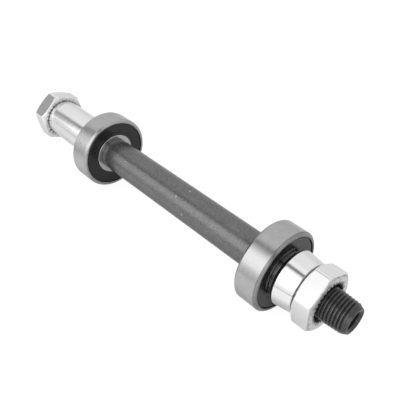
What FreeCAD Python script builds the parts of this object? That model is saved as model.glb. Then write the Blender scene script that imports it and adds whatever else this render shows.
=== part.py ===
import FreeCAD, Part
import Sketcher
import os

# Hollow rear hub axle with two sealed ball bearings, two spacers and two locknuts.
# The axle lies along Y, with the non-drive end towards +Y. Z is up.
# The origin is on the axis, midway between the outer faces of the two locknuts.
# Everything is in millimetres and degrees.

sizes = {
    # lengths along the axle, from one locknut to the other
    "nutThickness": 6.0,
    "driveSpacerLength": 26.5,
    "shoulderLength": 72.0,
    "nondriveSpacerLength": 8.5,
    # axle
    "driveStickOut": 2.8,
    "nondriveStickOut": 8.2,
    "axleBore": 5.5,
    "axleBoreChamfer": 0.3,
    "shoulderHeight": 0.65,
    "shoulderChamfer": 0.3,
    "threadUndersize": 0.05,
    "threadHalfDepth": 0.275,
    "threadOverrun": 0.1,
    "tipTaper": 0.9,
    "tipLength": 1.5,
    "seatOverrun": 0.6,
    "axleFit": 0.01,
    # bearing rings
    "bearingBore": 10.0,
    "bearingOutside": 26.0,
    "innerRingChamfer": 0.3,
    "outerChamferShare": 0.29,
    "landChamfer": 0.12,
    # balls, races and cage
    "ballCount": 7,
    "ballDiameter": 4.762,
    "raceShare": 0.525,
    "raceClearance": 0.03,
    "innerRaceDepth": 0.61,
    "outerRaceDepth": 0.46,
    "cageSheet": 0.35,
    "cageBand": 2.0,
    "cageClearance": 0.059,
    "rivetShank": 0.7,
    "rivetRim": 0.35,
    "rivetHeadHeight": 0.3,
    "rivetFit": 0.01,
    # seals
    "sealClearance": 0.21,
    "sealThickness": 0.75,
    "sealRecess": 0.25,
    "sealBeadThickness": 0.5,
    "sealBeadShare": 0.49,
    "sealMouthShare": 0.39,
    "sealFaceShare": 0.22,
    "sealLipGap": 0.05,
    # spacers
    "spacerFit": 0.1,
    "spacerChamfer": 0.4,
    "driveSpacerInset": 0.25,
    "nondriveSpacerOutside": 17.6,
    "nondriveSpacerEnd": 16.0,
    "nondriveSpacerChamfer": 0.8,
    "spacerNoseInset": 0.4,
    "spacerNoseLength": 0.9,
    "spacerRimInset": 1.0,
    "spacerRimLength": 1.2,
    # locknuts
    "nutFlats": 16.8,
    "nutFaceInset": 0.1,
    "nutFaceAngle": 30.0,
    "nutMouthRim": 0.55,
    "nutMouthDepth": 0.5,
    "nutThreadFit": 0.02,
    "serrationCount": 30,
    "outerSerrationLength": 1.6,
    "outerSerrationSlope": 16.0,
    "innerSerrationLength": 2.4,
    "innerSerrationSlope": 11.0,
    "serrationShare": 0.98,
    "serrationHeight": 0.5,
    "serrationOverrun": 0.05,
    "driveNutTurn": 20.5,
    "nondriveNutTurn": 26.3,
}

doc = FreeCAD.newDocument("HollowRearAxle")
sheet = doc.addObject("Spreadsheet::Sheet", "Sizes")
for row, (name, value) in enumerate(sizes.items(), start=1):
    sheet.set(f"A{row}", name)
    sheet.set(f"B{row}", str(value))
    sheet.setAlias(f"B{row}", name)
doc.recompute()

# Places along Y and radii that follow from the sizes, each bound to the sheet
places = doc.addObject("App::VarSet", "Places")


def place(name, expression):
    places.addProperty("App::PropertyFloat", name)
    places.setExpression(name, expression)


place("ballRadius", "Sizes.ballDiameter / 2")
place("pocketRadius", "Places.ballRadius + Sizes.cageClearance")
place("pocketOutside", "Places.pocketRadius + Sizes.cageSheet")
place("sealInner", "Places.pocketOutside + Sizes.sealClearance")
place("sealOuter", "Places.sealInner + Sizes.sealThickness")
place("beadOuter", "Places.sealInner + Sizes.sealBeadThickness")
place("ringHalf", "Places.sealOuter + Sizes.sealRecess")
place("bearingWidth", "2 * Places.ringHalf")
place("overLocknuts", "2 * Sizes.nutThickness + 2 * Places.bearingWidth + Sizes.shoulderLength"
      " + Sizes.driveSpacerLength + Sizes.nondriveSpacerLength")
place("driveNutOuter", "-Places.overLocknuts / 2")
place("driveNutInner", "Places.driveNutOuter + Sizes.nutThickness")
place("driveSpacerEnd", "Places.driveNutInner + Sizes.driveSpacerLength")
place("driveBearing", "Places.driveSpacerEnd + Places.ringHalf")
place("driveShoulder", "Places.driveSpacerEnd + Places.bearingWidth")
place("nondriveShoulder", "Places.driveShoulder + Sizes.shoulderLength")
place("nondriveBearing", "Places.nondriveShoulder + Places.ringHalf")
place("nondriveSpacerStart", "Places.nondriveShoulder + Places.bearingWidth")
place("nondriveNutInner", "Places.nondriveSpacerStart + Sizes.nondriveSpacerLength")
place("nondriveNutOuter", "Places.nondriveNutInner + Sizes.nutThickness")
place("driveTip", "Places.driveNutOuter - Sizes.driveStickOut")
place("nondriveTip", "Places.nondriveNutOuter + Sizes.nondriveStickOut")
place("seatRadius", "Sizes.bearingBore / 2 - Sizes.axleFit")
place("shoulderRadius", "Sizes.bearingBore / 2 + Sizes.shoulderHeight")
place("threadRadius", "Sizes.bearingBore / 2 - Sizes.threadUndersize")
place("threadPitchRadius", "Places.threadRadius - Sizes.threadHalfDepth")
place("spacerBoreRadius", "Sizes.bearingBore / 2 + Sizes.spacerFit")
place("pitchRadius", "(Sizes.bearingBore + Sizes.bearingOutside) / 4")
place("raceRadius", "Sizes.ballDiameter * Sizes.raceShare")
place("innerRaceFloor", "Places.pitchRadius - Places.ballRadius - Sizes.raceClearance")
place("outerRaceFloor", "Places.pitchRadius + Places.ballRadius + Sizes.raceClearance")
place("innerLand", "Places.innerRaceFloor + Sizes.innerRaceDepth")
place("outerLand", "Places.outerRaceFloor - Sizes.outerRaceDepth")
place("outerWall", "Sizes.bearingOutside / 2 - Places.outerLand")
place("outerChamfer", "Places.outerWall * Sizes.outerChamferShare")
place("sealBead", "Places.outerLand + Places.outerWall * Sizes.sealBeadShare")
place("sealMouth", "Places.outerLand + Places.outerWall * Sizes.sealMouthShare")
place("sealFace", "Places.outerLand + Places.outerWall * Sizes.sealFaceShare")
place("cageInner", "Places.pitchRadius - Sizes.cageBand / 2")
place("cageOuter", "Places.pitchRadius + Sizes.cageBand / 2")
place("nutCorner", "Sizes.nutFlats / 2 / cos(30)")
place("nutFace", "Sizes.nutFlats / 2 - Sizes.nutFaceInset")
place("nutBoreRadius", "Places.threadPitchRadius + Sizes.nutThreadFit")
place("nutMouth", "Places.threadRadius + Sizes.nutMouthRim")
place("serrationStart", "Places.nutMouth - Sizes.serrationOverrun")
place("outerSerrationEnd", "Places.nutMouth + Sizes.outerSerrationLength")
place("innerSerrationEnd", "Places.nutMouth + Sizes.innerSerrationLength")
place("serrationHalfWidth", "Places.serrationStart * tan(180 / Sizes.serrationCount) * Sizes.serrationShare")
doc.recompute()


def newBody(name):
    body = doc.addObject("PartDesign::Body", name.title().replace("_", ""))
    body.Label = name
    return body


def originFeature(body, role):
    return next(item for item in body.Origin.OriginFeatures if item.Role == role)


def newSketch(body, name, plane="XY_Plane"):
    sketch = body.newObject("Sketcher::SketchObject", body.Name + name)
    sketch.AttachmentSupport = [(originFeature(body, plane), "")]
    sketch.MapMode = "FlatFace"
    return sketch


def bindPoint(sketch, line, end, across, along):
    # Holds one end of a line at a bound distance from the sketch's origin, each way
    for kind, expression in (("DistanceX", across), ("DistanceY", along)):
        number = sketch.addConstraint(Sketcher.Constraint(kind, -1, 1, line, end, 1.0))
        sketch.setExpression(f"Constraints[{number}]", expression)


def drawOutline(sketch, corners):
    # A closed outline of straight lines through the corners, each given by its two expressions
    first = sketch.GeometryCount
    count = len(corners)
    starts = [FreeCAD.Vector(index, index * index, 0) for index in range(count)]
    for index in range(count):
        sketch.addGeometry(Part.LineSegment(starts[index], starts[(index + 1) % count]), False)
    for index in range(count):
        before = first + (index - 1) % count
        sketch.addConstraint(Sketcher.Constraint("Coincident", before, 2, first + index, 1))
    for index, (across, along) in enumerate(corners):
        bindPoint(sketch, first + index, 1, across, along)


def turn(body, name, outlines, kind="PartDesign::Revolution"):
    # Turns outlines of (radius, place along Y) about the axle's axis, to add or to cut
    sketch = newSketch(body, name + "Section")
    for corners in outlines:
        drawOutline(sketch, corners)
    feature = body.newObject(kind, body.Name + name)
    feature.Profile = sketch
    feature.ReferenceAxis = (sketch, ["V_Axis"])
    feature.Angle = 360
    body.Tip = feature
    return feature


def repeatAround(body, name, originals, countExpression):
    pattern = body.newObject("PartDesign::PolarPattern", body.Name + name)
    pattern.Originals = originals
    pattern.Axis = (originFeature(body, "Y_Axis"), [""])
    pattern.Angle = 360
    pattern.setExpression("Occurrences", countExpression)
    body.Tip = pattern
    return pattern


def spheres(body, name, kind, radius, centre):
    # One sphere for each ball, on the ball circle and half a pitch away from the rivets
    doc.recompute()
    sphere = body.newObject(kind, body.Name + name)
    sphere.Placement = FreeCAD.Placement(FreeCAD.Vector(), FreeCAD.Rotation(FreeCAD.Vector(1, 0, 0), -90))
    sphere.setExpression("Radius", radius)
    sphere.setExpression("Placement.Base.x", "Places.pitchRadius * cos(180 / Sizes.ballCount)")
    sphere.setExpression("Placement.Base.y", centre)
    sphere.setExpression("Placement.Base.z", "Places.pitchRadius * sin(180 / Sizes.ballCount)")
    return repeatAround(body, name + "Pattern", [sphere], "Sizes.ballCount")


def makeAxle():
    # One turned and drilled steel bar: threaded ends, bearing seats and a thicker middle.
    # Where a locknut grips it, the thread has the radius at which the two threads share the load.
    body = newBody("axle")
    bore = "Sizes.axleBore / 2"
    boreMouth = "Sizes.axleBore / 2 + Sizes.axleBoreChamfer"
    thread = "Places.threadRadius"
    tip = "Places.threadRadius - Sizes.tipTaper"
    grip = "Places.threadPitchRadius"
    seat = "Places.seatRadius"
    shoulder = "Places.shoulderRadius"
    shoulderEdge = "Places.shoulderRadius - Sizes.shoulderChamfer"
    turn(body, "Bar", [[
        (boreMouth, "Places.driveTip"),
        (tip, "Places.driveTip"),
        (thread, "Places.driveTip + Sizes.tipLength"),
        (thread, "Places.driveNutOuter - Sizes.threadOverrun"),
        (grip, "Places.driveNutOuter - Sizes.threadOverrun"),
        (grip, "Places.driveNutInner"),
        (thread, "Places.driveNutInner"),
        (thread, "Places.driveSpacerEnd - Sizes.seatOverrun"),
        (seat, "Places.driveSpacerEnd - Sizes.seatOverrun"),
        (seat, "Places.driveShoulder"),
        (shoulderEdge, "Places.driveShoulder"),
        (shoulder, "Places.driveShoulder + Sizes.shoulderChamfer"),
        (shoulder, "Places.nondriveShoulder - Sizes.shoulderChamfer"),
        (shoulderEdge, "Places.nondriveShoulder"),
        (seat, "Places.nondriveShoulder"),
        (seat, "Places.nondriveSpacerStart + Sizes.seatOverrun"),
        (thread, "Places.nondriveSpacerStart + Sizes.seatOverrun"),
        (thread, "Places.nondriveNutInner"),
        (grip, "Places.nondriveNutInner"),
        (grip, "Places.nondriveNutOuter + Sizes.threadOverrun"),
        (thread, "Places.nondriveNutOuter + Sizes.threadOverrun"),
        (thread, "Places.nondriveTip - Sizes.tipLength"),
        (tip, "Places.nondriveTip"),
        (boreMouth, "Places.nondriveTip"),
        (bore, "Places.nondriveTip - Sizes.axleBoreChamfer"),
        (bore, "Places.driveTip + Sizes.axleBoreChamfer"),
    ]])
    return body


def makeDriveSpacer():
    # A plain tube, narrow enough to press on the inner ring alone
    body = newBody("drive_spacer")
    bore = "Places.spacerBoreRadius"
    outside = "Places.innerLand - Sizes.driveSpacerInset"
    edge = "Places.innerLand - Sizes.driveSpacerInset - Sizes.spacerChamfer"
    turn(body, "Tube", [[
        (bore, "Places.driveNutInner"),
        (edge, "Places.driveNutInner"),
        (outside, "Places.driveNutInner + Sizes.spacerChamfer"),
        (outside, "Places.driveSpacerEnd - Sizes.spacerChamfer"),
        (edge, "Places.driveSpacerEnd"),
        (bore, "Places.driveSpacerEnd"),
    ]])
    return body


def makeNondriveSpacer():
    # A stouter tube that narrows towards the locknut. Its nose clears the seal and presses on the
    # inner ring alone.
    body = newBody("nondrive_spacer")
    bore = "Places.spacerBoreRadius"
    nose = "Places.innerLand - Sizes.spacerNoseInset"
    rim = "Sizes.nondriveSpacerOutside / 2 - Sizes.spacerRimInset"
    outside = "Sizes.nondriveSpacerOutside / 2"
    end = "Sizes.nondriveSpacerEnd / 2"
    edge = "Sizes.nondriveSpacerEnd / 2 - Sizes.nondriveSpacerChamfer"
    noseEnd = "Places.nondriveSpacerStart + Sizes.spacerNoseLength"
    turn(body, "Tube", [[
        (bore, "Places.nondriveSpacerStart"),
        (nose, "Places.nondriveSpacerStart"),
        (nose, noseEnd),
        (rim, noseEnd),
        (outside, noseEnd + " + Sizes.spacerRimLength"),
        (end, "Places.nondriveNutInner - Sizes.nondriveSpacerChamfer"),
        (edge, "Places.nondriveNutInner"),
        (bore, "Places.nondriveNutInner"),
    ]])
    return body


def makeHexagon(body, top, turnAngle):
    # Six equal lines on a circle through the corners, padded down from the upper face
    sketch = newSketch(body, "Hexagon", "XZ_Plane")
    sketch.setExpression("AttachmentOffset.Base.z", f"-({top})")
    corner = places.nutCorner
    ray = FreeCAD.Vector(corner, 0, 0)
    starts = [FreeCAD.Rotation(FreeCAD.Vector(0, 0, 1), 60 * index + 20).multVec(ray) for index in range(6)]
    for index in range(6):
        sketch.addGeometry(Part.LineSegment(starts[index], starts[(index + 1) % 6]), False)
    circle = sketch.addGeometry(Part.Circle(FreeCAD.Vector(), FreeCAD.Vector(0, 0, 1), corner), True)
    sketch.addConstraint(Sketcher.Constraint("Coincident", circle, 3, -1, 1))
    for index in range(6):
        sketch.addConstraint(Sketcher.Constraint("Coincident", index, 2, (index + 1) % 6, 1))
        sketch.addConstraint(Sketcher.Constraint("PointOnObject", index, 1, circle))
    for index in range(1, 6):
        sketch.addConstraint(Sketcher.Constraint("Equal", 0, index))
    bindPoint(sketch, 0, 1, f"Places.nutCorner * cos({turnAngle})", f"Places.nutCorner * sin({turnAngle})")
    pad = body.newObject("PartDesign::Pad", body.Name + "Pad")
    pad.Profile = sketch
    pad.setExpression("Length", "Sizes.nutThickness")
    body.Tip = pad


def cutSerrations(body, name, face, outward):
    # A ring of V grooves on one face, deepest at the bore and running out at their outer ends.
    # Those of the inner face reach further out than those that bite into the frame.
    doc.recompute()
    sketch = newSketch(body, name + "Groove")
    slope = f"Sizes.{name}SerrationSlope"
    end = f"Places.{name}SerrationEnd"
    sketch.AttachmentOffset = FreeCAD.Placement(
        FreeCAD.Vector(), FreeCAD.Rotation(FreeCAD.Vector(-outward, 0, 0), sizes[f"{name}SerrationSlope"]))
    sketch.setExpression("AttachmentOffset.Base.y", face)
    sketch.setExpression("AttachmentOffset.Base.z", end)
    sketch.setExpression("AttachmentOffset.Rotation.Angle", slope)
    drawOutline(sketch, [
        ("0", "0"),
        ("Places.serrationHalfWidth", f"{outward} * Sizes.serrationHeight"),
        ("-Places.serrationHalfWidth", f"{outward} * Sizes.serrationHeight"),
    ])
    groove = body.newObject("PartDesign::Pocket", body.Name + name + "Pocket")
    groove.Profile = sketch
    groove.setExpression("Length", f"({end} - Places.serrationStart) / cos({slope})")
    body.Tip = groove
    doc.recompute()
    repeatAround(body, name + "Ring", [groove], "Sizes.serrationCount")


def makeLocknut(name, low, high, turnAngle, lowFace, highFace):
    # Hexagon locknut: both faces have chamfered corners, a thread mouth and a serrated ring
    body = newBody(name)
    makeHexagon(body, high, turnAngle)
    beyond = "(Places.nutCorner + 1)"
    drop = f"({beyond} - Places.nutFace) * tan(Sizes.nutFaceAngle)"
    turn(body, "Corners", [
        [("Places.nutFace", high), (beyond, high), (beyond, f"{high} - {drop}")],
        [("Places.nutFace", low), (beyond, low), (beyond, f"{low} + {drop}")],
    ], "PartDesign::Groove")
    mouth = "Places.nutMouth"
    coneEnd = "(Sizes.nutMouthDepth + Places.nutMouth - Places.nutBoreRadius)"
    turn(body, "Bore", [[
        ("0", low),
        (mouth, low),
        (mouth, f"{low} + Sizes.nutMouthDepth"),
        ("Places.nutBoreRadius", f"{low} + {coneEnd}"),
        ("Places.nutBoreRadius", f"{high} - {coneEnd}"),
        (mouth, f"{high} - Sizes.nutMouthDepth"),
        (mouth, high),
        ("0", high),
    ]], "PartDesign::Groove")
    cutSerrations(body, highFace, high, 1)
    cutSerrations(body, lowFace, low, -1)
    return body


def cutRace(body, centreRadius, centre):
    # The ball race: a groove turned with a round tool a little larger than the ball
    sketch = newSketch(body, "RaceSection")
    start = FreeCAD.Vector(places.pitchRadius, 0, 0)
    circle = sketch.addGeometry(Part.Circle(start, FreeCAD.Vector(0, 0, 1), places.raceRadius), False)
    radius = sketch.addConstraint(Sketcher.Constraint("Radius", circle, places.raceRadius))
    sketch.setExpression(f"Constraints[{radius}]", "Places.raceRadius")
    bindPoint(sketch, circle, 3, centreRadius, centre)
    race = body.newObject("PartDesign::Groove", body.Name + "Race")
    race.Profile = sketch
    race.ReferenceAxis = (sketch, ["V_Axis"])
    race.Angle = 360
    body.Tip = race


def makeInnerRing(side, centre):
    body = newBody(f"{side}_inner_ring")
    bore = "Sizes.bearingBore / 2"
    boreEdge = "Sizes.bearingBore / 2 + Sizes.innerRingChamfer"
    outside = "Places.innerLand"
    outsideEdge = "Places.innerLand - Sizes.landChamfer"
    turn(body, "Ring", [[
        (boreEdge, f"{centre} + Places.ringHalf"),
        (outsideEdge, f"{centre} + Places.ringHalf"),
        (outside, f"{centre} + Places.ringHalf - Sizes.landChamfer"),
        (outside, f"{centre} - Places.ringHalf + Sizes.landChamfer"),
        (outsideEdge, f"{centre} - Places.ringHalf"),
        (boreEdge, f"{centre} - Places.ringHalf"),
        (bore, f"{centre} - Places.ringHalf + Sizes.innerRingChamfer"),
        (bore, f"{centre} + Places.ringHalf - Sizes.innerRingChamfer"),
    ]])
    cutRace(body, "Places.innerRaceFloor + Places.raceRadius", centre)
    return body


def makeOuterRing(side, centre):
    # The outer ring, with a stepped seat for a seal inside each face
    body = newBody(f"{side}_outer_ring")
    outside = "Sizes.bearingOutside / 2"
    edge = "Sizes.bearingOutside / 2 - Places.outerChamfer"
    land = "Places.outerLand"
    mouth = "Places.sealMouth"
    bead = "Places.sealBead"
    turn(body, "Ring", [[
        (mouth, f"{centre} + Places.ringHalf"),
        (edge, f"{centre} + Places.ringHalf"),
        (outside, f"{centre} + Places.ringHalf - Places.outerChamfer"),
        (outside, f"{centre} - Places.ringHalf + Places.outerChamfer"),
        (edge, f"{centre} - Places.ringHalf"),
        (mouth, f"{centre} - Places.ringHalf"),
        (mouth, f"{centre} - Places.beadOuter"),
        (bead, f"{centre} - Places.beadOuter"),
        (bead, f"{centre} - Places.sealInner"),
        (land, f"{centre} - Places.sealInner"),
        (land, f"{centre} + Places.sealInner"),
        (bead, f"{centre} + Places.sealInner"),
        (bead, f"{centre} + Places.beadOuter"),
        (mouth, f"{centre} + Places.beadOuter"),
    ]])
    cutRace(body, "Places.outerRaceFloor - Places.raceRadius", centre)
    return body


def makeSeal(side, position, centre, outward):
    # A rubber seal: a bead snapped into the outer ring and a lip that just clears the inner ring
    body = newBody(f"{side}_seal_{position}")
    lip = "Places.innerLand + Sizes.sealLipGap"
    bead = "Places.sealBead"
    face = "Places.sealFace"
    turn(body, "Washer", [[
        (lip, f"{centre} + {outward} * Places.sealInner"),
        (bead, f"{centre} + {outward} * Places.sealInner"),
        (bead, f"{centre} + {outward} * Places.beadOuter"),
        (face, f"{centre} + {outward} * Places.beadOuter"),
        (face, f"{centre} + {outward} * Places.sealOuter"),
        (lip, f"{centre} + {outward} * Places.sealOuter"),
    ]])
    return body


def makeBalls(side, centre):
    body = newBody(f"{side}_balls")
    spheres(body, "Ball", "PartDesign::AdditiveSphere", "Places.ballRadius", centre)
    return body


def rivetOutline(centre, radius, reach):
    # Half of a plain pin about the rivet's own axis, which stands on the ball circle
    return [
        ("Places.pitchRadius", f"{centre} - {reach}"),
        (f"Places.pitchRadius + {radius}", f"{centre} - {reach}"),
        (f"Places.pitchRadius + {radius}", f"{centre} + {reach}"),
        ("Places.pitchRadius", f"{centre} + {reach}"),
    ]


def turnOnRivetAxis(body, name, kind, corners, centre):
    # Turns an outline about the line through the rivet, parallel to the axle, and repeats it
    sketch = newSketch(body, name + "Section")
    drawOutline(sketch, corners)
    start = FreeCAD.Vector(places.pitchRadius, 0, 0)
    axis = sketch.addGeometry(Part.LineSegment(start, start + FreeCAD.Vector(0, 1, 0)), True)
    bindPoint(sketch, axis, 1, "Places.pitchRadius", centre)
    bindPoint(sketch, axis, 2, "Places.pitchRadius", f"{centre} + 1")
    feature = body.newObject(kind, body.Name + name)
    feature.Profile = sketch
    feature.ReferenceAxis = (sketch, ["Axis0"])
    feature.Angle = 360
    body.Tip = feature
    doc.recompute()
    return repeatAround(body, name + "Pattern", [feature], "Sizes.ballCount")


def makeCageHalf(side, position, centre, outward):
    # Half of a pressed ribbon cage: a flat ring with a domed pocket over each ball
    body = newBody(f"{side}_cage_half_{position}")
    turn(body, "Flat", [[
        ("Places.cageInner", centre),
        ("Places.cageOuter", centre),
        ("Places.cageOuter", f"{centre} + {outward} * Sizes.cageSheet"),
        ("Places.cageInner", f"{centre} + {outward} * Sizes.cageSheet"),
    ]])
    spheres(body, "Dome", "PartDesign::AdditiveSphere", "Places.pocketOutside", centre)
    clear = "(Places.pocketOutside + 1)"
    turn(body, "Band", [[
        ("0", f"{centre} + {outward} * {clear}"),
        ("Places.cageInner", f"{centre} + {outward} * {clear}"),
        ("Places.cageInner", centre),
        ("Places.cageOuter", centre),
        ("Places.cageOuter", f"{centre} + {outward} * {clear}"),
        (f"Places.pitchRadius + {clear}", f"{centre} + {outward} * {clear}"),
        (f"Places.pitchRadius + {clear}", f"{centre} - {outward} * {clear}"),
        ("0", f"{centre} - {outward} * {clear}"),
    ]], "PartDesign::Groove")
    spheres(body, "Pocket", "PartDesign::SubtractiveSphere", "Places.pocketRadius", centre)
    turnOnRivetAxis(body, "Hole", "PartDesign::Groove", rivetOutline(
        centre, "(Sizes.rivetShank / 2 + Sizes.rivetFit)", "Places.pocketOutside"), centre)
    return body


def makeRivets(side, centre):
    # The rivets that hold the two cage halves together, one between each pair of balls
    body = newBody(f"{side}_cage_rivets")
    shank = "Places.pitchRadius + Sizes.rivetShank / 2"
    head = "Places.pitchRadius + Sizes.rivetShank / 2 + Sizes.rivetRim"
    crown = "Places.pitchRadius + Sizes.rivetShank / 2"
    top = "(Sizes.cageSheet + Sizes.rivetHeadHeight)"
    brim = "(Sizes.cageSheet + Sizes.rivetHeadHeight / 3)"
    turnOnRivetAxis(body, "Rivet", "PartDesign::Revolution", [
        ("Places.pitchRadius", f"{centre} - {top}"),
        (crown, f"{centre} - {top}"),
        (head, f"{centre} - {brim}"),
        (head, f"{centre} - Sizes.cageSheet"),
        (shank, f"{centre} - Sizes.cageSheet"),
        (shank, f"{centre} + Sizes.cageSheet"),
        (head, f"{centre} + Sizes.cageSheet"),
        (head, f"{centre} + {brim}"),
        (crown, f"{centre} + {top}"),
        ("Places.pitchRadius", f"{centre} + {top}"),
    ], centre)
    return body


def makeBearing(side, outboard):
    # A sealed ball bearing: two rings, balls, a riveted cage and two seals
    centre = f"Places.{side}Bearing"
    return [
        makeInnerRing(side, centre),
        makeOuterRing(side, centre),
        makeBalls(side, centre),
        makeCageHalf(side, "inboard", centre, -outboard),
        makeCageHalf(side, "outboard", centre, outboard),
        makeRivets(side, centre),
        makeSeal(side, "inboard", centre, -outboard),
        makeSeal(side, "outboard", centre, outboard),
    ]


parts = [
    makeAxle(),
    makeDriveSpacer(),
    makeNondriveSpacer(),
    makeLocknut("drive_locknut", "Places.driveNutOuter", "Places.driveNutInner",
                "Sizes.driveNutTurn", "outer", "inner"),
    makeLocknut("nondrive_locknut", "Places.nondriveNutInner", "Places.nondriveNutOuter",
                "Sizes.nondriveNutTurn", "inner", "outer"),
]
parts += makeBearing("drive", -1)
parts += makeBearing("nondrive", 1)
doc.recompute()

# Nothing is written unless every object was built and every shape is sound
for item in doc.Objects:
    if "Invalid" in item.State or "Error" in item.State:
        raise RuntimeError(f"{item.Label} could not be built")
for body in parts:
    if body.Shape.isNull() or not body.Shape.isValid() or not body.Shape.Solids:
        raise RuntimeError(f"{body.Label} has no sound shape")

os.makedirs("parts", exist_ok=True)
for body in parts:
    body.Shape.exportStep(f"parts/{body.Label}.step")
    print(f"{body.Label}: {len(body.Shape.Solids)} solid(s), {body.Shape.Volume:.2f} cubic mm")
print(f"over locknuts {places.overLocknuts:.2f}, axle {places.nondriveTip - places.driveTip:.2f}")
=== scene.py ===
import math
import bpy
import numpy as np
from mathutils import Matrix, Vector


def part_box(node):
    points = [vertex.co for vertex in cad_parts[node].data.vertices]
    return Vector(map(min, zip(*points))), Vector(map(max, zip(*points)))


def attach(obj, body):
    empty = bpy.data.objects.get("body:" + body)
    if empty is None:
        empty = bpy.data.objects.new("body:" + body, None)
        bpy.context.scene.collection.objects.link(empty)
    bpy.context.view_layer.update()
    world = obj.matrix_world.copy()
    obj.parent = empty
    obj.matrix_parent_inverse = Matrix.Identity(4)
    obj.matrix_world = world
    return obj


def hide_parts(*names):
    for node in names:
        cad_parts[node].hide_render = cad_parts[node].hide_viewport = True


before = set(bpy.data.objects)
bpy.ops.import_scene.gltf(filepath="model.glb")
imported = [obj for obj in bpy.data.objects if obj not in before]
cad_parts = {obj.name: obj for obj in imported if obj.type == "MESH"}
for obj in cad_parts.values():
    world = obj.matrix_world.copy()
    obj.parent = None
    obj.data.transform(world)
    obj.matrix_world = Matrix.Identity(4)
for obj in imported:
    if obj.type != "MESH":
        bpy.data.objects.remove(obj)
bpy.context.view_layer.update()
mm = 0.001
fullTurn = 2 * math.pi
print("frame loaded")


# Sections and surfaces. The axle lies along Y, so a section is a list of (radius, along) points.

def softCorners(corners, rounds, arcSteps=5, mostOfRun=0.4, beyond=1.2):
    # Each sharp corner P becomes a quadratic curve (1-t)^2 A + 2t(1-t) P + t^2 C, where A and C lie
    # a short way along the two runs that meet at P. One more point beyond each of them keeps the
    # flats flat. A corner's radius and place may be whole arrays, one value for each angle.
    wide = max(np.size(value) for corner in corners for value in corner)
    places = np.array([[np.broadcast_to(value, wide) for value in corner] for corner in corners],
                      dtype=float)
    points = []
    for index, here in enumerate(places):
        if rounds[index] == 0:
            points.append(here)
            continue
        runs = (places[index - 1] - here, places[(index + 1) % len(corners)] - here)
        lengths = (np.maximum(np.hypot(*run), 1e-9) for run in runs)
        back, onward = (run * np.minimum(rounds[index] / length, mostOfRun)
                        for run, length in zip(runs, lengths))
        points.append(here + beyond * back)
        for t in np.linspace(0, 1, arcSteps):
            points.append(here + (1 - t) ** 2 * back + t ** 2 * onward)
        points.append(here + beyond * onward)
    return np.swapaxes(np.array(points), 0, 1)


def runBetween(first, last, count):
    # Evenly spaced steps strictly between two points of a section
    shares = np.linspace(0, 1, count + 2)[1:-1]
    return [tuple(a + (b - a) * share for a, b in zip(first, last)) for share in shares]


def ringMesh(name, radii, alongs, columns):
    # Point (i, j) = (radius_i,j cos angle_j, along_i,j, radius_i,j sin angle_j), closed both ways:
    # the section closes on itself and the angle goes right round the axle
    angles = np.arange(columns) * fullTurn / columns
    radius = np.broadcast_to(radii, (len(radii), columns))
    along = np.broadcast_to(alongs, (len(alongs), columns))
    rows = len(radius)
    points = np.stack([radius * np.cos(angles), along, radius * np.sin(angles)], axis=-1)
    points = points.reshape(-1, 3)
    rowIndex, columnIndex = np.meshgrid(np.arange(rows), np.arange(columns), indexing="ij")
    nextRow = (rowIndex + 1) % rows
    nextColumn = (columnIndex + 1) % columns
    quads = np.stack([rowIndex * columns + columnIndex, nextRow * columns + columnIndex,
                      nextRow * columns + nextColumn, rowIndex * columns + nextColumn],
                     axis=-1).reshape(-1, 4)
    # Signed area of the section: faces are turned round where it runs the other way
    middle = radius.mean(axis=1)
    place = along.mean(axis=1)
    if np.sum(middle * np.roll(place, -1) - np.roll(middle, -1) * place) < 0:
        quads = quads[:, ::-1]
    mesh = bpy.data.meshes.new(name)
    mesh.vertices.add(len(points))
    mesh.vertices.foreach_set("co", points.ravel())
    mesh.loops.add(quads.size)
    mesh.loops.foreach_set("vertex_index", quads.ravel())
    mesh.polygons.add(len(quads))
    mesh.polygons.foreach_set("loop_start", np.arange(len(quads)) * 4)
    mesh.polygons.foreach_set("use_smooth", np.ones(len(quads), dtype=bool))
    mesh.update(calc_edges=True)
    mesh.validate()
    piece = bpy.data.objects.new(name, mesh)
    bpy.context.scene.collection.objects.link(piece)
    return piece


# Materials: maths on sockets, and one method that makes every node

class Channel:
    # A number at each point of a surface. Each operator adds a Math node.
    def __init__(self, recipe, socket):
        self.recipe = recipe
        self.socket = socket

    def __add__(self, other):
        return self.recipe.maths("ADD", self, other)

    def __radd__(self, other):
        return self.recipe.maths("ADD", other, self)

    def __sub__(self, other):
        return self.recipe.maths("SUBTRACT", self, other)

    def __rsub__(self, other):
        return self.recipe.maths("SUBTRACT", other, self)

    def __mul__(self, other):
        return self.recipe.maths("MULTIPLY", self, other)

    def __rmul__(self, other):
        return self.recipe.maths("MULTIPLY", other, self)

    def __truediv__(self, other):
        return self.recipe.maths("DIVIDE", self, other)

    def __rtruediv__(self, other):
        return self.recipe.maths("DIVIDE", other, self)

    def __pow__(self, other):
        return self.recipe.maths("POWER", self, other)

    def __rpow__(self, other):
        return self.recipe.maths("POWER", other, self)


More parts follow.
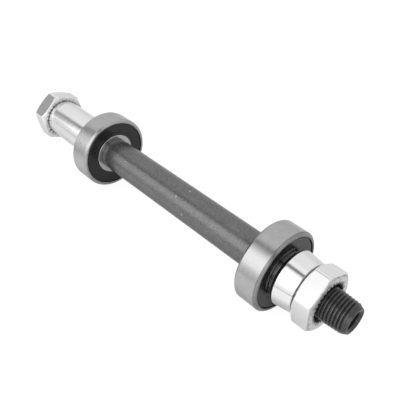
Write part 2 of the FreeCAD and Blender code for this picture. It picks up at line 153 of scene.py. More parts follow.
class Recipe:
    def __init__(self, tree):
        self.tree = tree
        self.tree.nodes.clear()

    def node(self, kind, settings=None, sockets=None):
        # A node of this kind: its settings first, then a value or a link for each socket
        made = self.tree.nodes.new(kind)
        for key, value in (settings or {}).items():
            setattr(made, key, value)
        for key, value in (sockets or {}).items():
            if isinstance(value, Channel):
                value = value.socket
            if isinstance(value, bpy.types.NodeSocket):
                self.tree.links.new(value, made.inputs[key])
            else:
                made.inputs[key].default_value = value
        return made

    def channel(self, kind, settings=None, sockets=None):
        return Channel(self, self.node(kind, settings, sockets).outputs[0])

    def maths(self, operation, first, second=0.0):
        return self.channel("ShaderNodeMath", {"operation": operation}, {0: first, 1: second})

    def noise(self, vector, scale, detail=2.0):
        return self.channel("ShaderNodeTexNoise", None,
                            {"Vector": vector, "Scale": scale, "Detail": detail, "Roughness": 0.5})

    def smoothStep(self, value, low, high):
        return self.channel("ShaderNodeMapRange", {"interpolation_type": "SMOOTHSTEP"},
                            {"Value": value, "From Min": low, "From Max": high})

    def blend(self, factor, *colors):
        # From the first color to the second: each is three numbers or another blend
        first, second = ((*color, 1) if isinstance(color, tuple) else color for color in colors)
        made = self.node("ShaderNodeMix", {"data_type": "RGBA"},
                         {"Factor": factor, "A": first, "B": second})
        return made.outputs[2]

    def grey(self, shade):
        return self.blend(shade, (0, 0, 0), (1, 1, 1))

    def place(self):
        return self.node("ShaderNodeTexCoord").outputs["Object"]

    def axes(self, vector=None):
        # On a piece, these are across, along and above the axle
        source = self.place() if vector is None else vector
        parts = self.node("ShaderNodeSeparateXYZ", None, {0: source})
        return [Channel(self, parts.outputs[axis]) for axis in "XYZ"]

    def fromAxle(self):
        # Distance from the axle's middle line = (across^2 + above^2)^0.5
        across, _, above = self.axes()
        return (across * across + above * above) ** 0.5

    def toolMarks(self, scale, detail=2.0):
        # Noise on (along, distance from the axle), so it is the same all round a turned piece
        _, along, _ = self.axes()
        vector = self.node("ShaderNodeCombineXYZ", None,
                           {"X": along * scale, "Y": self.fromAxle() * scale}).outputs[0]
        return self.noise(vector, 1, detail)

    def bump(self, height, distance, strength):
        return self.node("ShaderNodeBump", None,
                         {"Height": height, "Distance": distance, "Strength": strength}).outputs[0]

    def surface(self, sockets):
        shader = self.node("ShaderNodeBsdfPrincipled", None, sockets)
        self.node("ShaderNodeOutputMaterial", None, {"Surface": shader.outputs[0]})


def newMaterial(name):
    material = bpy.data.materials.new(name)
    material.use_nodes = True
    return material, Recipe(material.node_tree)


def shaded(color, share):
    return tuple(value * share for value in color)


# In the finishes below, a number named grain, cloud, drawn, marks, nicks, haze, peel, spots or
# rings is a noise scale, and a pair is where a mask starts and where it is full

blackSteelLook = {
    "dark": (0.125, 0.125, 0.127), "light": (0.185, 0.185, 0.187), "levels": (0.36, 0.64),
    "grain": 2100, "drawn": 1300, "stretch": (1, 0.2, 1), "cloud": 260, "marks": 5200,
    "shares": {"grain": 0.65, "drawn": 0.12, "cloud": 0.13, "marks": 0.1},
    "nicks": 1000, "nickLevels": (0.77, 0.81), "nickColor": (0.8, 0.8, 0.8), "nickCover": 0.9,
    "lowThread": (-35.6 * mm, -35.1 * mm), "highThread": (53.1 * mm, 53.6 * mm),
    "threadShade": 0.46, "metallic": 0.75, "roughness": 0.31, "grainRoughness": 0.22,
    "drawnRoughness": 0.1, "bump": 0.02 * mm, "bumpStrength": 0.4, "bumpGrain": 0.8,
    "bumpMarks": 0.2,
}


def blackSteel():
    # Black oxide on turned steel: a fine grain, faint turning marks and a few bright nicks.
    # The threads are darker than the bare middle: partly lubricant, partly painted shade in the
    # grooves.
    look = blackSteelLook
    material, recipe = newMaterial("blackSteel")
    grain = recipe.noise(recipe.place(), look["grain"])
    cloud = recipe.noise(recipe.place(), look["cloud"])
    stretched = recipe.node("ShaderNodeMapping", None,
                            {"Vector": recipe.place(), "Scale": look["stretch"]}).outputs[0]
    drawn = recipe.noise(stretched, look["drawn"], 3)
    marks = recipe.toolMarks(look["marks"])
    nicks = recipe.smoothStep(recipe.noise(recipe.place(), look["nicks"], 1), *look["nickLevels"])
    _, along, _ = recipe.axes()
    threaded = recipe.smoothStep(along, *look["highThread"])
    threaded = threaded + 1 - recipe.smoothStep(along, *look["lowThread"])
    shares = look["shares"]
    shade = grain * shares["grain"] + drawn * shares["drawn"] + cloud * shares["cloud"]
    shade = recipe.smoothStep(shade + marks * shares["marks"], *look["levels"])
    bare = recipe.blend(shade, look["dark"], look["light"])
    # Darker copy of the colours for the threads: partly lubricant, partly painted shade in the
    # grooves
    oiledAndShaded = recipe.blend(shade, shaded(look["dark"], look["threadShade"]),
                         shaded(look["light"], look["threadShade"]))
    rough = look["roughness"] + (grain - 0.5) * look["grainRoughness"]
    recipe.surface({
        "Base Color": recipe.blend(nicks * look["nickCover"], recipe.blend(threaded, bare, oiledAndShaded),
                                   look["nickColor"]),
        "Metallic": look["metallic"],
        "Roughness": rough + (drawn - 0.5) * look["drawnRoughness"],
        "Normal": recipe.bump(grain * look["bumpGrain"] + marks * look["bumpMarks"],
                              look["bump"], look["bumpStrength"]),
    })
    return material


# The dark colour and the two shares at the joints below are painted shade
chromeLook = {"peel": 420, "haze": 2600, "marks": 4200, "hazeShade": 0.95, "hazeRoughness": 0.06,
              "bump": 0.02 * mm, "bumpStrength": 0.5, "bumpMarks": 0.25,
              "paintedShade": (0.05, 0.05, 0.05), "farJointShade": 0.3, "nearJointShade": 0.8, "nearEnd": (-mm, mm)}
spacerChromeLook = {"color": (0.83, 0.83, 0.835), "roughness": 0.12, "waviness": 1.0,
                    "joint": (60.8 * mm, 61.05 * mm)}
ballSteelLook = {"color": (0.78, 0.78, 0.79), "roughness": 0.04, "waviness": 0.2,
                 "joint": (1000 * mm, 1001 * mm)}  # beyond the axle's ends, so the balls have none


def chrome(name, own):
    # Bright plating over machined steel: a slight orange peel, haze and faint tool marks. Painted
    # shade darkens what lies beyond the joint at either end, and more at the non-drive one.
    look = chromeLook
    material, recipe = newMaterial(name)
    _, along, _ = recipe.axes()
    nearEnd = recipe.smoothStep(along, *look["nearEnd"])
    # Mask of painted shade beyond the joint, stronger at the near end
    joint = recipe.smoothStep(recipe.maths("ABSOLUTE", along), *own["joint"])
    joint = joint * (look["farJointShade"] + (look["nearJointShade"] - look["farJointShade"]) * nearEnd)
    peel = recipe.noise(recipe.place(), look["peel"])
    haze = recipe.noise(recipe.place(), look["haze"])
    marks = recipe.toolMarks(look["marks"])
    plated = recipe.blend(haze, shaded(own["color"], look["hazeShade"]), own["color"])
    recipe.surface({
        "Base Color": recipe.blend(joint, plated, look["paintedShade"]),
        "Metallic": 1.0,
        "Roughness": own["roughness"] + haze * look["hazeRoughness"],
        "Normal": recipe.bump(peel * own["waviness"] + marks * look["bumpMarks"],
                              look["bump"], look["bumpStrength"]),
    })
    return material


nutChromeLook = {
    "bright": 0.87, "shadedGrey": 0.1, "roughness": 0.1, "peel": 420, "haze": 2600, "spots": 900,
    "hazeShade": 0.04, "hazeRoughness": 0.06, "bump": 0.02 * mm, "bumpStrength": 0.4,
    "faces": (61.5 * mm, 67.5 * mm), "band": (0.35 * mm, 0.45 * mm), "faceRoughness": 0.42,
    "spotLevels": (0.52, 0.68), "spotShade": 0.3, "outer": (61.9 * mm, 62.1 * mm),
    "outerShade": 0.05, "faceEnd": (8.28 * mm, 8.38 * mm), "chamferShade": 0.25,
    "groove": (0.02 * mm, 0.14 * mm), "grooveEnd": (7.95 * mm, 8.1 * mm),
    "jointEnd": (7.2 * mm, 7.4 * mm), "innerFaceShade": 0.35,
}


def nutChrome():
    # Bright flats, satin turned faces, and serrations whose grooves are darkened with painted
    # shade.
    # The outer faces are duller and their grooves and chamfers more shaded, and the inner faces
    # have painted shade where they meet the spacers.
    look = nutChromeLook
    material, recipe = newMaterial("nutChrome")
    peel = recipe.noise(recipe.place(), look["peel"])
    haze = recipe.noise(recipe.place(), look["haze"])
    spots = recipe.noise(recipe.place(), look["spots"], 3)
    fromAxle = recipe.fromAxle()
    _, along, _ = recipe.axes()
    along = recipe.maths("ABSOLUTE", along)
    first, last = look["faces"]
    inside = recipe.maths("MINIMUM", along - first, last - along)
    outer = recipe.smoothStep(along, *look["outer"])
    turned = 1 - recipe.smoothStep(inside, *look["band"])
    chamfer = recipe.smoothStep(fromAxle, *look["faceEnd"]) * turned
    # Painted shade in the serrations' grooves and on the inner faces where they meet the spacers
    groove = recipe.smoothStep(inside, *look["groove"])
    groove = groove * (1 - recipe.smoothStep(fromAxle, *look["grooveEnd"]))
    joint = 1 - recipe.smoothStep(fromAxle, *look["jointEnd"])
    paintedShade = recipe.maths("MAXIMUM", groove * (look["innerFaceShade"] + (1 - look["innerFaceShade"]) * outer),
                       joint * look["innerFaceShade"] * (1 - outer))
    plated = look["bright"] - haze * look["hazeShade"]
    plated = plated - turned * recipe.smoothStep(spots, *look["spotLevels"]) * look["spotShade"]
    # On the outer faces the turned rings are a little duller, and the chamfers get painted shade
    plated = plated - outer * (turned * look["outerShade"] + chamfer * look["chamferShade"])
    rough = look["roughness"] + haze * look["hazeRoughness"]
    recipe.surface({
        "Base Color": recipe.grey(plated - paintedShade * (look["bright"] - look["shadedGrey"])),
        "Metallic": 1.0,
        "Roughness": rough + turned * look["faceRoughness"],
        "Normal": recipe.bump(peel, look["bump"], look["bumpStrength"]),
    })
    return material


groundSteelLook = {
    "dark": 0.34, "light": 0.52, "rings": 9000, "cloud": 700, "ringShare": 0.45, "cloudShare": 0.55,
    "roughness": 0.2, "cloudRoughness": 0.12, "bump": 0.012 * mm, "bumpStrength": 0.5,
    "innerEnd": (7.3 * mm, 7.5 * mm), "innerShine": 0.3, "innerPolish": 0.65,
    "lowJoint": (-34.6 * mm, -34.4 * mm), "highJoint": (52.4 * mm, 52.6 * mm), "paintedShade": 0.8,
    "middle": 9 * mm, "bearingAt": 40 * mm, "chamfer": (3.3 * mm, 3.42 * mm), "chamferShade": 0.34,
    "edgeStart": (3.2 * mm, 3.3 * mm), "edgeEnd": (3.42 * mm, 3.52 * mm), "edgeShade": 0.3,
    "nearEnd": (8 * mm, 10 * mm), "farChamferShade": 0.1,
}


def groundSteel():
    # Ground bearing steel: fine rings all round and a slightly uneven surface. The inner rings,
    # polished by the lips, are brighter and smoother, with painted shade where they meet the
    # spacers.
    # The chamfers and their edges are darkened with painted shade, above all on the near bearing.
    look = groundSteelLook
    material, recipe = newMaterial("groundSteel")
    _, along, _ = recipe.axes()
    # Painted shade on the inner rings beyond their joints with the spacers
    paintedShade = 1 - recipe.smoothStep(along, *look["lowJoint"])
    paintedShade = paintedShade + recipe.smoothStep(along, *look["highJoint"])
    inner = 1 - recipe.smoothStep(recipe.fromAxle(), *look["innerEnd"])
    # Both bearings lie as far from the middle, so distance from a bearing's own middle =
    # ||along - middle| - bearing's place|
    off = recipe.maths("ABSOLUTE", along - look["middle"])
    off = recipe.maths("ABSOLUTE", off - look["bearingAt"])
    chamfer = recipe.smoothStep(off, *look["chamfer"])
    edge = 1 - recipe.smoothStep(off, *look["edgeEnd"])
    edge = recipe.smoothStep(off, *look["edgeStart"]) * edge
    nearEnd = recipe.smoothStep(along, *look["nearEnd"])
    # Painted shade on the chamfers and their edges, mostly on the near bearing
    paintedChamferShade = (chamfer * look["chamferShade"] + edge * look["edgeShade"]) * (1 - inner)
    paintedChamferShade = paintedChamferShade * (look["farChamferShade"] + (1 - look["farChamferShade"]) * nearEnd)
    rings = recipe.toolMarks(look["rings"], 3)
    cloud = recipe.noise(recipe.place(), look["cloud"], 3)
    shade = rings * look["ringShare"] + cloud * look["cloudShare"]
    shade = look["dark"] + (look["light"] - look["dark"]) * shade
    shade = shade * (1 + inner * look["innerShine"]) * (1 - inner * paintedShade * look["paintedShade"]) * (1 - paintedChamferShade)
    rough = (look["roughness"] + cloud * look["cloudRoughness"]) * (1 - inner * look["innerPolish"])
    recipe.surface({
        "Base Color": recipe.grey(shade),
        "Metallic": 1.0,
        "Roughness": rough,
        "Normal": recipe.bump(rings, look["bump"], look["bumpStrength"]),
    })
    return material


sealRubberLook = {"dark": (0.006, 0.006, 0.006), "light": (0.014, 0.014, 0.014), "grain": 4200,
                  "cloud": 500, "roughness": 0.14, "grainRoughness": 0.12, "bump": 0.02 * mm,
                  "bumpStrength": 0.4}


def sealRubber():
    # Moulded black rubber, a little oily, with a fine grain
    look = sealRubberLook
    material, recipe = newMaterial("sealRubber")
    grain = recipe.noise(recipe.place(), look["grain"], 3)
    cloud = recipe.noise(recipe.place(), look["cloud"])
    recipe.surface({
        "Base Color": recipe.blend(cloud, look["dark"], look["light"]),
        "Roughness": look["roughness"] + grain * look["grainRoughness"],
        "Normal": recipe.bump(grain, look["bump"], look["bumpStrength"]),
    })
    return material


pressedSteelLook = {"dark": (0.42, 0.41, 0.39), "light": (0.58, 0.57, 0.55), "cloud": 1200,
                    "roughness": 0.3, "cloudRoughness": 0.15, "bump": 0.01 * mm,
                    "bumpStrength": 0.4}


def pressedSteel():
    # Thin strip for the cages and their rivets, cloudy from the press and faintly warm
    look = pressedSteelLook
    material, recipe = newMaterial("pressedSteel")
    cloud = recipe.noise(recipe.place(), look["cloud"], 3)
    recipe.surface({
        "Base Color": recipe.blend(cloud, look["dark"], look["light"]),
        "Metallic": 1.0,
        "Roughness": look["roughness"] + cloud * look["cloudRoughness"],
        "Normal": recipe.bump(cloud, look["bump"], look["bumpStrength"]),
    })
    return material


finishes = {
    "black_steel": blackSteel(),
    "chrome_spacer": chrome("spacerChrome", spacerChromeLook),
    "chrome_nut": nutChrome(),
    "bearing_steel": groundSteel(),
    "seal_rubber": sealRubber(),
    "ball_steel": chrome("ballSteel", ballSteelLook),
    "cage_steel": pressedSteel(),
}
print("materials made")


def settle(piece, body, slot, nodes):
    # Gives a new piece its finish, the body that it moves with and the nodes that it stands for
    piece.data.materials.append(finishes[slot])
    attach(piece, body)
    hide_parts(*nodes)


def spanOf(node):
    # Where a node starts and ends along the axle, and how far up it reaches
    low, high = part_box(node)
    return low.y, high.y, high.z


# Axle, with its threads cut as one helix at each end

axleLook = {
    "bore": 2.75 * mm, "mouth": 3.4 * mm, "tip": 3.9 * mm, "tipLength": 1.5 * mm,
    "coneShare": 0.6, "coneDrop": 0.32 * mm, "thread": 4.95 * mm, "threadStart": 4.68 * mm,
    "lead": 4.5 * mm, "pitch": 1.0 * mm, "threadDepth": 0.58 * mm, "flank": 1.9, "crestWidth": 0.7,
    "phase": 0.35, "runOut": 0.7 * mm, "rowsPerPitch": 12, "seat": 4.99 * mm,
    "seatOverrun": 0.6 * mm, "shoulder": 5.65 * mm, "boreEdge": 0.1 * mm, "mouthEdge": 0.08 * mm,
    "tipEdge": 0.2 * mm, "shoulderEdge": 0.3 * mm, "middleSteps": 40, "boreSteps": 12,
    "columns": 96,
}


def threadRadius(along, toTip, toSeat, angles):
    # Crest less a V groove that follows along + pitch * angle / full turn, as deep as
    # flank * (1 - |2 turn - 1|) - crest width, held between 0 and 1. The crest narrows near the
    # tip, the tip's cone cuts it off, and the groove fades where it ends beside the bearing seat.
    look = axleLook
    turn = np.mod(along / look["pitch"] + angles / fullTurn + look["phase"], 1)
    groove = np.clip(look["flank"] * (1 - np.abs(2 * turn - 1)) - look["crestWidth"], 0, 1)
    crest = np.interp(toTip, [look["tipLength"], look["tipLength"] + look["lead"]],
                      [look["threadStart"], look["thread"]])
    cone = np.interp(toTip, [0, look["tipLength"] * look["coneShare"], look["tipLength"]],
                     [look["tip"], look["threadStart"] - look["coneDrop"], look["threadStart"]])
    depth = look["threadDepth"] * np.clip(toSeat / look["runOut"], 0, 1)
    root = np.minimum(crest, look["thread"]) - depth * groove
    return np.where(toTip < look["tipLength"], np.minimum(cone, root), root)


def makeAxle():
    # Section: bore mouth, tip, thread and seat at the drive end, the middle, the same at the other
    # end in the other order, and back through the bore
    look = axleLook
    bore, mouth, tip = look["bore"], look["mouth"], look["tip"]
    seat, shoulder = look["seat"], look["shoulder"]
    tips = spanOf("axle")[:2]
    shoulders = (spanOf("drive_inner_ring")[1], spanOf("nondrive_inner_ring")[0])
    seats = (spanOf("drive_inner_ring")[0] - look["seatOverrun"],
             spanOf("nondrive_inner_ring")[1] + look["seatOverrun"])
    angles = np.arange(look["columns"]) * fullTurn / look["columns"]

    def threadRows(tipAt, seatAt):
        rows = int(abs(tipAt - seatAt) / look["pitch"] * look["rowsPerPitch"])
        return [(threadRadius(along, abs(along - tipAt), abs(along - seatAt), angles), along)
                for along in np.linspace(tipAt, seatAt, rows)[1:]]

    countersink = mouth - bore
    mouths = (tips[0] + countersink, tips[1] - countersink)
    corners = [(bore, mouths[0]), (mouth, tips[0]), (tip, tips[0])]
    rounds = [look["boreEdge"], look["mouthEdge"], look["tipEdge"]]
    thread = threadRows(tips[0], seats[0])
    corners += thread + [(seat, seats[0]), (seat, shoulders[0]), (shoulder, shoulders[0])]
    rounds += [0] * (len(thread) + 2) + [look["shoulderEdge"]]
    middle = runBetween((shoulder, shoulders[0]), (shoulder, shoulders[1]), look["middleSteps"])
    corners += middle + [(shoulder, shoulders[1]), (seat, shoulders[1]), (seat, seats[1])]
    rounds += [0] * len(middle) + [look["shoulderEdge"], 0, 0]
    thread = threadRows(tips[1], seats[1])[::-1]
    corners += thread + [(tip, tips[1]), (mouth, tips[1]), (bore, mouths[1])]
    rounds += [0] * len(thread) + [look["tipEdge"], look["mouthEdge"], look["boreEdge"]]
    corners += runBetween((bore, mouths[1]), (bore, mouths[0]), look["boreSteps"])
    rounds += [0] * look["boreSteps"]
    return ringMesh("axleBar", *softCorners(corners, rounds), look["columns"])


settle(makeAxle(), "root", "black_steel", ["axle"])
print("axle made")


# Spacers

spacerLook = {"bore": 5.1 * mm, "driveOutside": 6.95 * mm, "edge": 0.45 * mm, "boreEdge": 0.15 * mm,
              "steps": 12, "columns": 128}


def makeDriveSpacer():
    # A plain tube with well rounded ends
    look = spacerLook
    low, high, _ = spanOf("drive_spacer")
    bore, outside = look["bore"], look["driveOutside"]
    corners = [(bore, low), (outside, low)]
    corners += runBetween((outside, low), (outside, high), look["steps"])
    corners += [(outside, high), (bore, high)]
    rounds = [look["boreEdge"], look["edge"]] + [0] * look["steps"]
    rounds += [look["edge"], look["boreEdge"]]
    return ringMesh("driveSpacerTube", *softCorners(corners, rounds), look["columns"])


taperLook = {"nose": 6.8 * mm, "noseLength": 0.9 * mm, "rim": 7.8 * mm, "rimLength": 1.2 * mm,
             "outside": 8.8 * mm, "end": 8.0 * mm, "chamfer": 0.8 * mm, "noseEdge": 0.15 * mm,
             "rimEdge": 0.12 * mm, "outsideEdge": 0.3 * mm, "endEdge": 0.12 * mm,
             "faceEdge": 0.1 * mm, "steps": 8}


def makeNondriveSpacer():
    # Nose by the bearing, a short flare, then a body that tapers a little towards the locknut
    look = taperLook
    bore, boreEdge = spacerLook["bore"], spacerLook["boreEdge"]
    low, high, _ = spanOf("nondrive_spacer")
    noseEnd = low + look["noseLength"]
    widest = (look["outside"], noseEnd + look["rimLength"])
    narrowest = (look["end"], high - look["chamfer"])
    corners = [(bore, low), (look["nose"], low), (look["nose"], noseEnd)]
    corners += [(look["rim"], noseEnd), widest]
    corners += runBetween(widest, narrowest, look["steps"])
    corners += [narrowest, (look["end"] - look["chamfer"], high), (bore, high)]
    rounds = [boreEdge, look["noseEdge"], 0, look["rimEdge"], look["outsideEdge"]]
    rounds += [0] * look["steps"] + [look["endEdge"], look["faceEdge"], boreEdge]
    return ringMesh("nondriveSpacerTube", *softCorners(corners, rounds), spacerLook["columns"])


settle(makeDriveSpacer(), "root", "chrome_spacer", ["drive_spacer"])
settle(makeNondriveSpacer(), "root", "chrome_spacer", ["nondrive_spacer"])
print("spacers made")


# Locknuts

# Angles are in degrees, apart from the corner's round, which is in radians
nutLook = {
    "flats": 16.8 * mm, "turn": {"drive": 20.5, "nondrive": 26.3}, "cornerRound": 0.05,
    "face": 8.3 * mm, "faceAngle": 30, "leastChamfer": 0.02 * mm, "edge": 0.12 * mm,
    "faceEdge": 0.06 * mm, "bore": 4.97 * mm, "mouth": 5.5 * mm, "mouthDepth": 0.5 * mm,
    "teeth": 30, "toothEnd": {"outer": 7.1 * mm, "inner": 7.9 * mm}, "toothDepth": 0.46 * mm,
    "toothEndDepth": 0.08 * mm, "toothSpread": 2.2, "toothFade": 0.05 * mm,
    "toothMargin": 0.08 * mm, "toothRows": 12, "arcSteps": 4, "columns": 480,
}


def makeLocknut(side, lowKind, highKind):
    # At each angle the section runs bore, mouth, serrated face, chamfer, flat, and back in the same
    # way. Outside radius = flats / 2 / cos(angle from the flat's middle), rounded near each corner.
    look = nutLook
    low, high, _ = spanOf(f"{side}_locknut")
    angles = np.arange(look["columns"]) * fullTurn / look["columns"]
    sixth = math.radians(60)
    fromFlat = np.mod(angles - math.radians(look["turn"][side]), sixth) - sixth / 2
    toCorner = sixth / 2 - np.abs(fromFlat)
    soft = look["cornerRound"]
    eased = sixth / 2 - np.where(toCorner < soft, toCorner ** 2 / (2 * soft) + soft / 2, toCorner)
    outside = look["flats"] / 2 / np.cos(eased)
    chamfer = np.maximum(outside - look["face"], look["leastChamfer"])
    chamfer = chamfer * math.tan(math.radians(look["faceAngle"]))

    def serratedFace(level, outward, kind):
        # V grooves that run out from the bore. Depth = depth along the groove's middle line, which
        # falls evenly as the radius grows, less the distance from that line / spread.
        end = look["toothEnd"][kind]
        pitch = fullTurn / look["teeth"]
        turned = np.abs(np.mod(angles + pitch / 2, pitch) - pitch / 2)
        rows = []
        for radius in np.linspace(look["mouth"], end + look["toothMargin"], look["toothRows"]):
            middle = np.interp(radius, [look["mouth"], end, end + look["toothFade"]],
                               [look["toothDepth"], look["toothEndDepth"], 0])
            depth = np.maximum(middle - turned * radius / look["toothSpread"], 0)
            rows.append((radius, level - outward * depth))
        return rows

    mouthEnd = look["mouthDepth"] + look["mouth"] - look["bore"]
    corners = [(look["bore"], low + mouthEnd), (look["mouth"], low + look["mouthDepth"])]
    corners += serratedFace(low, -1, lowKind)
    corners += [(look["face"], low), (outside, low + chamfer)]
    corners += [(outside, high - chamfer), (look["face"], high)]
    corners += serratedFace(high, 1, highKind)[::-1]
    corners += [(look["mouth"], high - look["mouthDepth"]), (look["bore"], high - mouthEnd)]
    sharp = [0] * (2 + look["toothRows"])
    rounds = sharp + [look["faceEdge"], look["edge"], look["edge"], look["faceEdge"]] + sharp
    section = softCorners(corners, rounds, look["arcSteps"])
    return ringMesh(f"{side}LocknutHex", *section, look["columns"])


for side, lowKind, highKind in (("drive", "outer", "inner"), ("nondrive", "inner", "outer")):
    settle(makeLocknut(side, lowKind, highKind), "root", "chrome_nut", [f"{side}_locknut"])
print("locknuts made")


# Bearings. Places are measured along from a bearing's middle.

bearingLook = {
    "ring": 4.0 * mm, "bore": 5.0 * mm, "innerLand": 7.199 * mm, "outerLand": 10.951 * mm,
    "raceRadius": 2.5 * mm, "innerRace": 0.61 * mm, "outerRace": 0.46 * mm, "raceSteps": 15,
    "mouth": 11.749 * mm, "beadRadius": 11.954 * mm, "bead": 3.5 * mm, "sealInner": 3.0 * mm,
    "chamfer": 0.62 * mm, "edge": 0.2 * mm, "boreEdge": 0.35 * mm, "landEdge": 0.15 * mm,
    "mouthEdge": 0.1 * mm, "steps": 10, "columns": 160,
}


def raceArc(land, depth, centre, inward):
    # Part of a circle of the race's radius that bites into the land by its depth: radius =
    # circle's middle -+ race radius * cos(t), along = centre + race radius * sin(t)
    circle = bearingLook["raceRadius"]
    middle = land - inward * (depth - circle)
    half = math.acos((circle - depth) / circle)
    return [(middle - inward * circle * math.cos(t), centre + circle * math.sin(t))
            for t in np.linspace(-half, half, bearingLook["raceSteps"])]


def makeInnerRing(side, centre):
    # Bore, then outwards to the land with the race cut in its middle, turned round the axle
    look = bearingLook
    low, high = centre - look["ring"], centre + look["ring"]
    bore, land = look["bore"], look["innerLand"]
    race = raceArc(land, look["innerRace"], centre, 1)
    boreEdge, landEdge = look["boreEdge"], look["landEdge"]
    corners = [(bore, high), (bore, low), (land, low)] + race + [(land, high)]
    rounds = [boreEdge, boreEdge, landEdge] + [0] * len(race) + [landEdge]
    return ringMesh(f"{side}InnerRace", *softCorners(corners, rounds), look["columns"])


def makeOuterRing(side, centre):
    # Mouth, chamfer and outside, then inwards past the groove that holds a seal's bead, the land,
    # the race, and the same again to the other mouth
    look = bearingLook
    low, high, outside = spanOf(f"{side}_outer_ring")
    chamfer, edge = look["chamfer"], look["edge"]
    mouth, beadRadius, land = look["mouth"], look["beadRadius"], look["outerLand"]
    bead, inner = look["bead"], look["sealInner"]
    race = raceArc(land, look["outerRace"], centre, -1)
    corners = [(mouth, low), (outside - chamfer, low), (outside, low + chamfer)]
    corners += runBetween((outside, low + chamfer), (outside, high - chamfer), look["steps"])
    corners += [(outside, high - chamfer), (outside - chamfer, high), (mouth, high)]
    corners += [(mouth, centre + bead), (beadRadius, centre + bead)]
    corners += [(beadRadius, centre + inner), (land, centre + inner)]
    corners += race[::-1]
    corners += [(land, centre - inner), (beadRadius, centre - inner)]
    corners += [(beadRadius, centre - bead), (mouth, centre - bead)]
    rounds = [look["mouthEdge"], edge, edge] + [0] * look["steps"] + [edge, edge, look["mouthEdge"]]
    rounds += [0] * (len(corners) - len(rounds))
    return ringMesh(f"{side}OuterRace", *softCorners(corners, rounds), look["columns"])


sealLook = {"lipGap": 0.05 * mm, "outside": 11.401 * mm, "level": 3.75 * mm, "rimWidth": 0.5 * mm,
            "dip": 0.12 * mm, "dipFrom": 1.1 * mm, "dipFull": 0.85 * mm, "lipWidth": 0.35 * mm,
            "lipDrop": 0.05 * mm, "lipEdge": 0.1 * mm, "beadEdge": 0.08 * mm,
            "grooveEdge": 0.05 * mm, "rimEdge": 0.12 * mm, "arcSteps": 4}


def makeSeal(name, centre, outward):
    # A dished washer: bead at the rim, a flat web, and a lip that thickens beside the inner ring
    look = sealLook
    shared = bearingLook
    lip = shared["innerLand"] + look["lipGap"]
    outside, beadRadius = look["outside"], shared["beadRadius"]
    inner, bead, level = (centre + outward * place
                          for place in (shared["sealInner"], shared["bead"], look["level"]))
    dipped = level - outward * look["dip"]
    corners = [(lip, inner), (beadRadius, inner), (beadRadius, bead), (outside, bead)]
    corners += [(outside, level), (outside - look["rimWidth"], level)]
    corners += [(lip + look["dipFrom"], level), (lip + look["dipFull"], dipped)]
    corners += [(lip + look["lipWidth"], dipped), (lip, level - outward * look["lipDrop"])]
    rounds = [look["lipEdge"], 0, look["beadEdge"], look["grooveEdge"], look["rimEdge"], 0]
    rounds += [look["lipEdge"]] * 4
    return ringMesh(name, *softCorners(corners, rounds, look["arcSteps"]), shared["columns"])


for side, outboard in (("drive", -1), ("nondrive", 1)):
    low, high, _ = spanOf(f"{side}_inner_ring")
    centre = (low + high) / 2
    settle(makeInnerRing(side, centre), "root", "bearing_steel", [f"{side}_inner_ring"])
    settle(makeOuterRing(side, centre), f"{side}_outer", "bearing_steel", [f"{side}_outer_ring"])
    for position, outward in (("inboard", -outboard), ("outboard", outboard)):
        seal = makeSeal(f"{side}Seal{position.title()}", centre, outward)
        settle(seal, f"{side}_outer", "seal_rubber", [f"{side}_seal_{position}"])
    # These are the solids themselves, with a finish of their own
    for node, slot in (("balls", "ball_steel"), ("cage_half_inboard", "cage_steel"),
                       ("cage_half_outboard", "cage_steel"), ("cage_rivets", "cage_steel")):
        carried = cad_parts[f"{side}_{node}"]
        carried.data.materials.clear()
        carried.data.materials.append(finishes[slot])
print("bearings made")


# Floor, light and camera

floorLook = {
    "size": 3.0, "level": -13.0 * mm, "seenShade": (0.22, 0.22, 0.22, 1), "seenGlow": 0.86,
    "card": (0.74, 0.74, 0.74), "line": (0.1, 0.1, 0.1), "lineStart": (93 * mm, 99 * mm),
    "lineEnd": (119 * mm, 129 * mm), "lineCover": 0.9, "glowFrom": (11 * mm, 24 * mm), "glow": 0.08,
    "nearFrom": (-80 * mm, -55 * mm), "nearGlow": 0.2,
}


def makeFloor():
    # The camera sees white with a faint shadow. The metal mirrors a pale card with a dark line
    # across it, which glows on the side of the window, and less beyond the far end.
    look = floorLook
    size, level = look["size"], look["level"]
    mesh = bpy.data.meshes.new("floor")
    mesh.from_pydata([(-size, -size, level), (size, -size, level),
                      (size, size, level), (-size, size, level)], [], [(0, 1, 2, 3)])
    floor = bpy.data.objects.new("floor", mesh)
    bpy.context.scene.collection.objects.link(floor)
    material, recipe = newMaterial("paleFloor")
    across, along, _ = recipe.axes()
    line = 1 - recipe.smoothStep(across, *look["lineEnd"])
    line = recipe.smoothStep(across, *look["lineStart"]) * line
    glow = look["glow"] + recipe.smoothStep(along, *look["nearFrom"]) * look["nearGlow"]
    glow = recipe.smoothStep(across, *look["glowFrom"]) * glow * (1 - line * look["lineCover"])
    card = recipe.node("ShaderNodeBsdfDiffuse", None,
                       {"Color": recipe.blend(line, look["card"], look["line"])})
    glowing = recipe.node("ShaderNodeEmission", None, {"Strength": glow})
    mirrored = recipe.node("ShaderNodeAddShader", None, {0: card.outputs[0], 1: glowing.outputs[0]})
    faint = recipe.node("ShaderNodeBsdfDiffuse", None, {"Color": look["seenShade"]})
    white = recipe.node("ShaderNodeEmission", None, {"Strength": look["seenGlow"]})
    seen = recipe.node("ShaderNodeAddShader", None, {0: faint.outputs[0], 1: white.outputs[0]})
    path = recipe.node("ShaderNodeLightPath")
    mixed = recipe.node("ShaderNodeMixShader", None, {0: path.outputs["Is Camera Ray"],
                                                      1: mirrored.outputs[0], 2: seen.outputs[0]})
    recipe.node("ShaderNodeOutputMaterial", None, {"Surface": mixed.outputs[0]})
    mesh.materials.append(material)


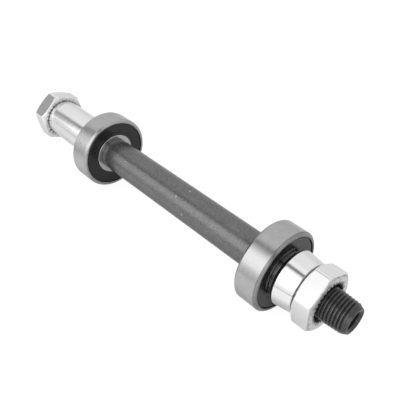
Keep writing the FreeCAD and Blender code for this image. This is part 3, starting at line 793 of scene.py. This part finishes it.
worldLook = {
    "low": 0.75, "high": 0.92, "highFrom": (0.0, 0.6), "above": (-0.02, 0.04),
    "start": 0.115, "rise": 0.27, "bend": 0.03, "leastUp": 0.05, "mostLean": 1.8,
    "farFrom": (0.742, 0.766), "seam": 0.18, "farSeam": 0.37, "seamStart": (-0.13, -0.04),
    "seamEnd": (0.08, 0.17), "farWiden": 0.15, "paleGain": 0.125, "paleStart": (-0.5, -0.3),
    "paleEnd": (-0.12, 0.0), "panel": 1.08, "panelStart": (0.12, 0.2), "window": 2.0,
    "windowStart": (0.285, 0.36), "windowUp": (0.1, 0.28), "windowShift": 0.185,
    "shiftFrom": (0.45, 0.68),
}


def makeWorld():
    # A white tent with a pale panel, a bright window in it, and a dark seam beside it. The seam's
    # line is x = z * (start + rise * v + bend * v^4) with v = -y / z, so it bends away at the far
    # end, and the masks are smooth steps of the distance beside that line.
    look = worldLook
    world = bpy.data.worlds.new("studio")
    world.use_nodes = True
    bpy.context.scene.world = world
    recipe = Recipe(world.node_tree)
    x, y, z = recipe.axes(recipe.node("ShaderNodeTexCoord").outputs["Generated"])
    away = 0 - y
    lean = recipe.channel("ShaderNodeClamp", None,
                          {"Value": away / recipe.maths("MAXIMUM", z, look["leastUp"]),
                           "Min": 0.0, "Max": look["mostLean"]})
    beside = x - z * (look["start"] + look["rise"] * lean + look["bend"] * lean ** 4)
    farEnd = recipe.smoothStep(away, *look["farFrom"])
    nearer = 1 - farEnd
    seam = 1 - recipe.smoothStep(beside - farEnd * look["farWiden"], *look["seamEnd"])
    seam = recipe.smoothStep(beside, *look["seamStart"]) * seam
    pale = recipe.smoothStep(beside, *look["paleStart"])
    pale = pale * (1 - recipe.smoothStep(beside, *look["paleEnd"])) * nearer
    panel = recipe.smoothStep(beside, *look["panelStart"]) * nearer
    shift = look["windowShift"] * recipe.smoothStep(away, *look["shiftFrom"])
    window = recipe.smoothStep(beside + shift, *look["windowStart"])
    window = window * recipe.smoothStep(z, *look["windowUp"]) * nearer
    plain = look["low"] + (look["high"] - look["low"]) * recipe.smoothStep(z, *look["highFrom"])
    dark = look["seam"] + (look["farSeam"] - look["seam"]) * farEnd
    added = pale * look["paleGain"] + panel * (look["panel"] - plain)
    added = added + window * (look["window"] - look["panel"]) - seam * (plain - dark)
    strength = plain + recipe.smoothStep(z, *look["above"]) * added
    light = recipe.node("ShaderNodeBackground", None, {"Color": (1, 1, 1, 1), "Strength": strength})
    white = recipe.node("ShaderNodeBackground", None, {"Color": (1, 1, 1, 1), "Strength": 1.0})
    path = recipe.node("ShaderNodeLightPath")
    mixed = recipe.node("ShaderNodeMixShader", None, {0: path.outputs["Is Camera Ray"],
                                                      1: light.outputs[0], 2: white.outputs[0]})
    recipe.node("ShaderNodeOutputWorld", None, {"Surface": mixed.outputs[0]})


# Place in millimetres, then the directions ahead and up; the focal length is in pixels of the frame
cameraLook = {"place": (86.217, 110.405, 109.598), "ahead": (-0.52603, -0.56404, -0.63652),
              "up": (-0.43412, -0.4655, 0.77126), "focal": 531.09, "frame": 400, "sensor": 36.0,
              "nearest": 0.005, "furthest": 20}


def makeCamera():
    look = cameraLook
    data = bpy.data.cameras.new("camera")
    data.sensor_width = look["sensor"]
    data.lens = look["focal"] / look["frame"] * look["sensor"]
    data.clip_start = look["nearest"]
    data.clip_end = look["furthest"]
    camera = bpy.data.objects.new("camera", data)
    ahead = Vector(look["ahead"]).normalized()
    across = ahead.cross(Vector(look["up"])).normalized()
    upward = across.cross(ahead)
    turned = Matrix((across, upward, -ahead)).transposed().to_4x4()
    camera.matrix_world = Matrix.Translation(Vector(look["place"]) * mm) @ turned
    bpy.context.scene.collection.objects.link(camera)
    bpy.context.scene.camera = camera


makeFloor()
makeWorld()
makeCamera()
bpy.context.scene.view_settings.view_transform = "Standard"
print("stage made")
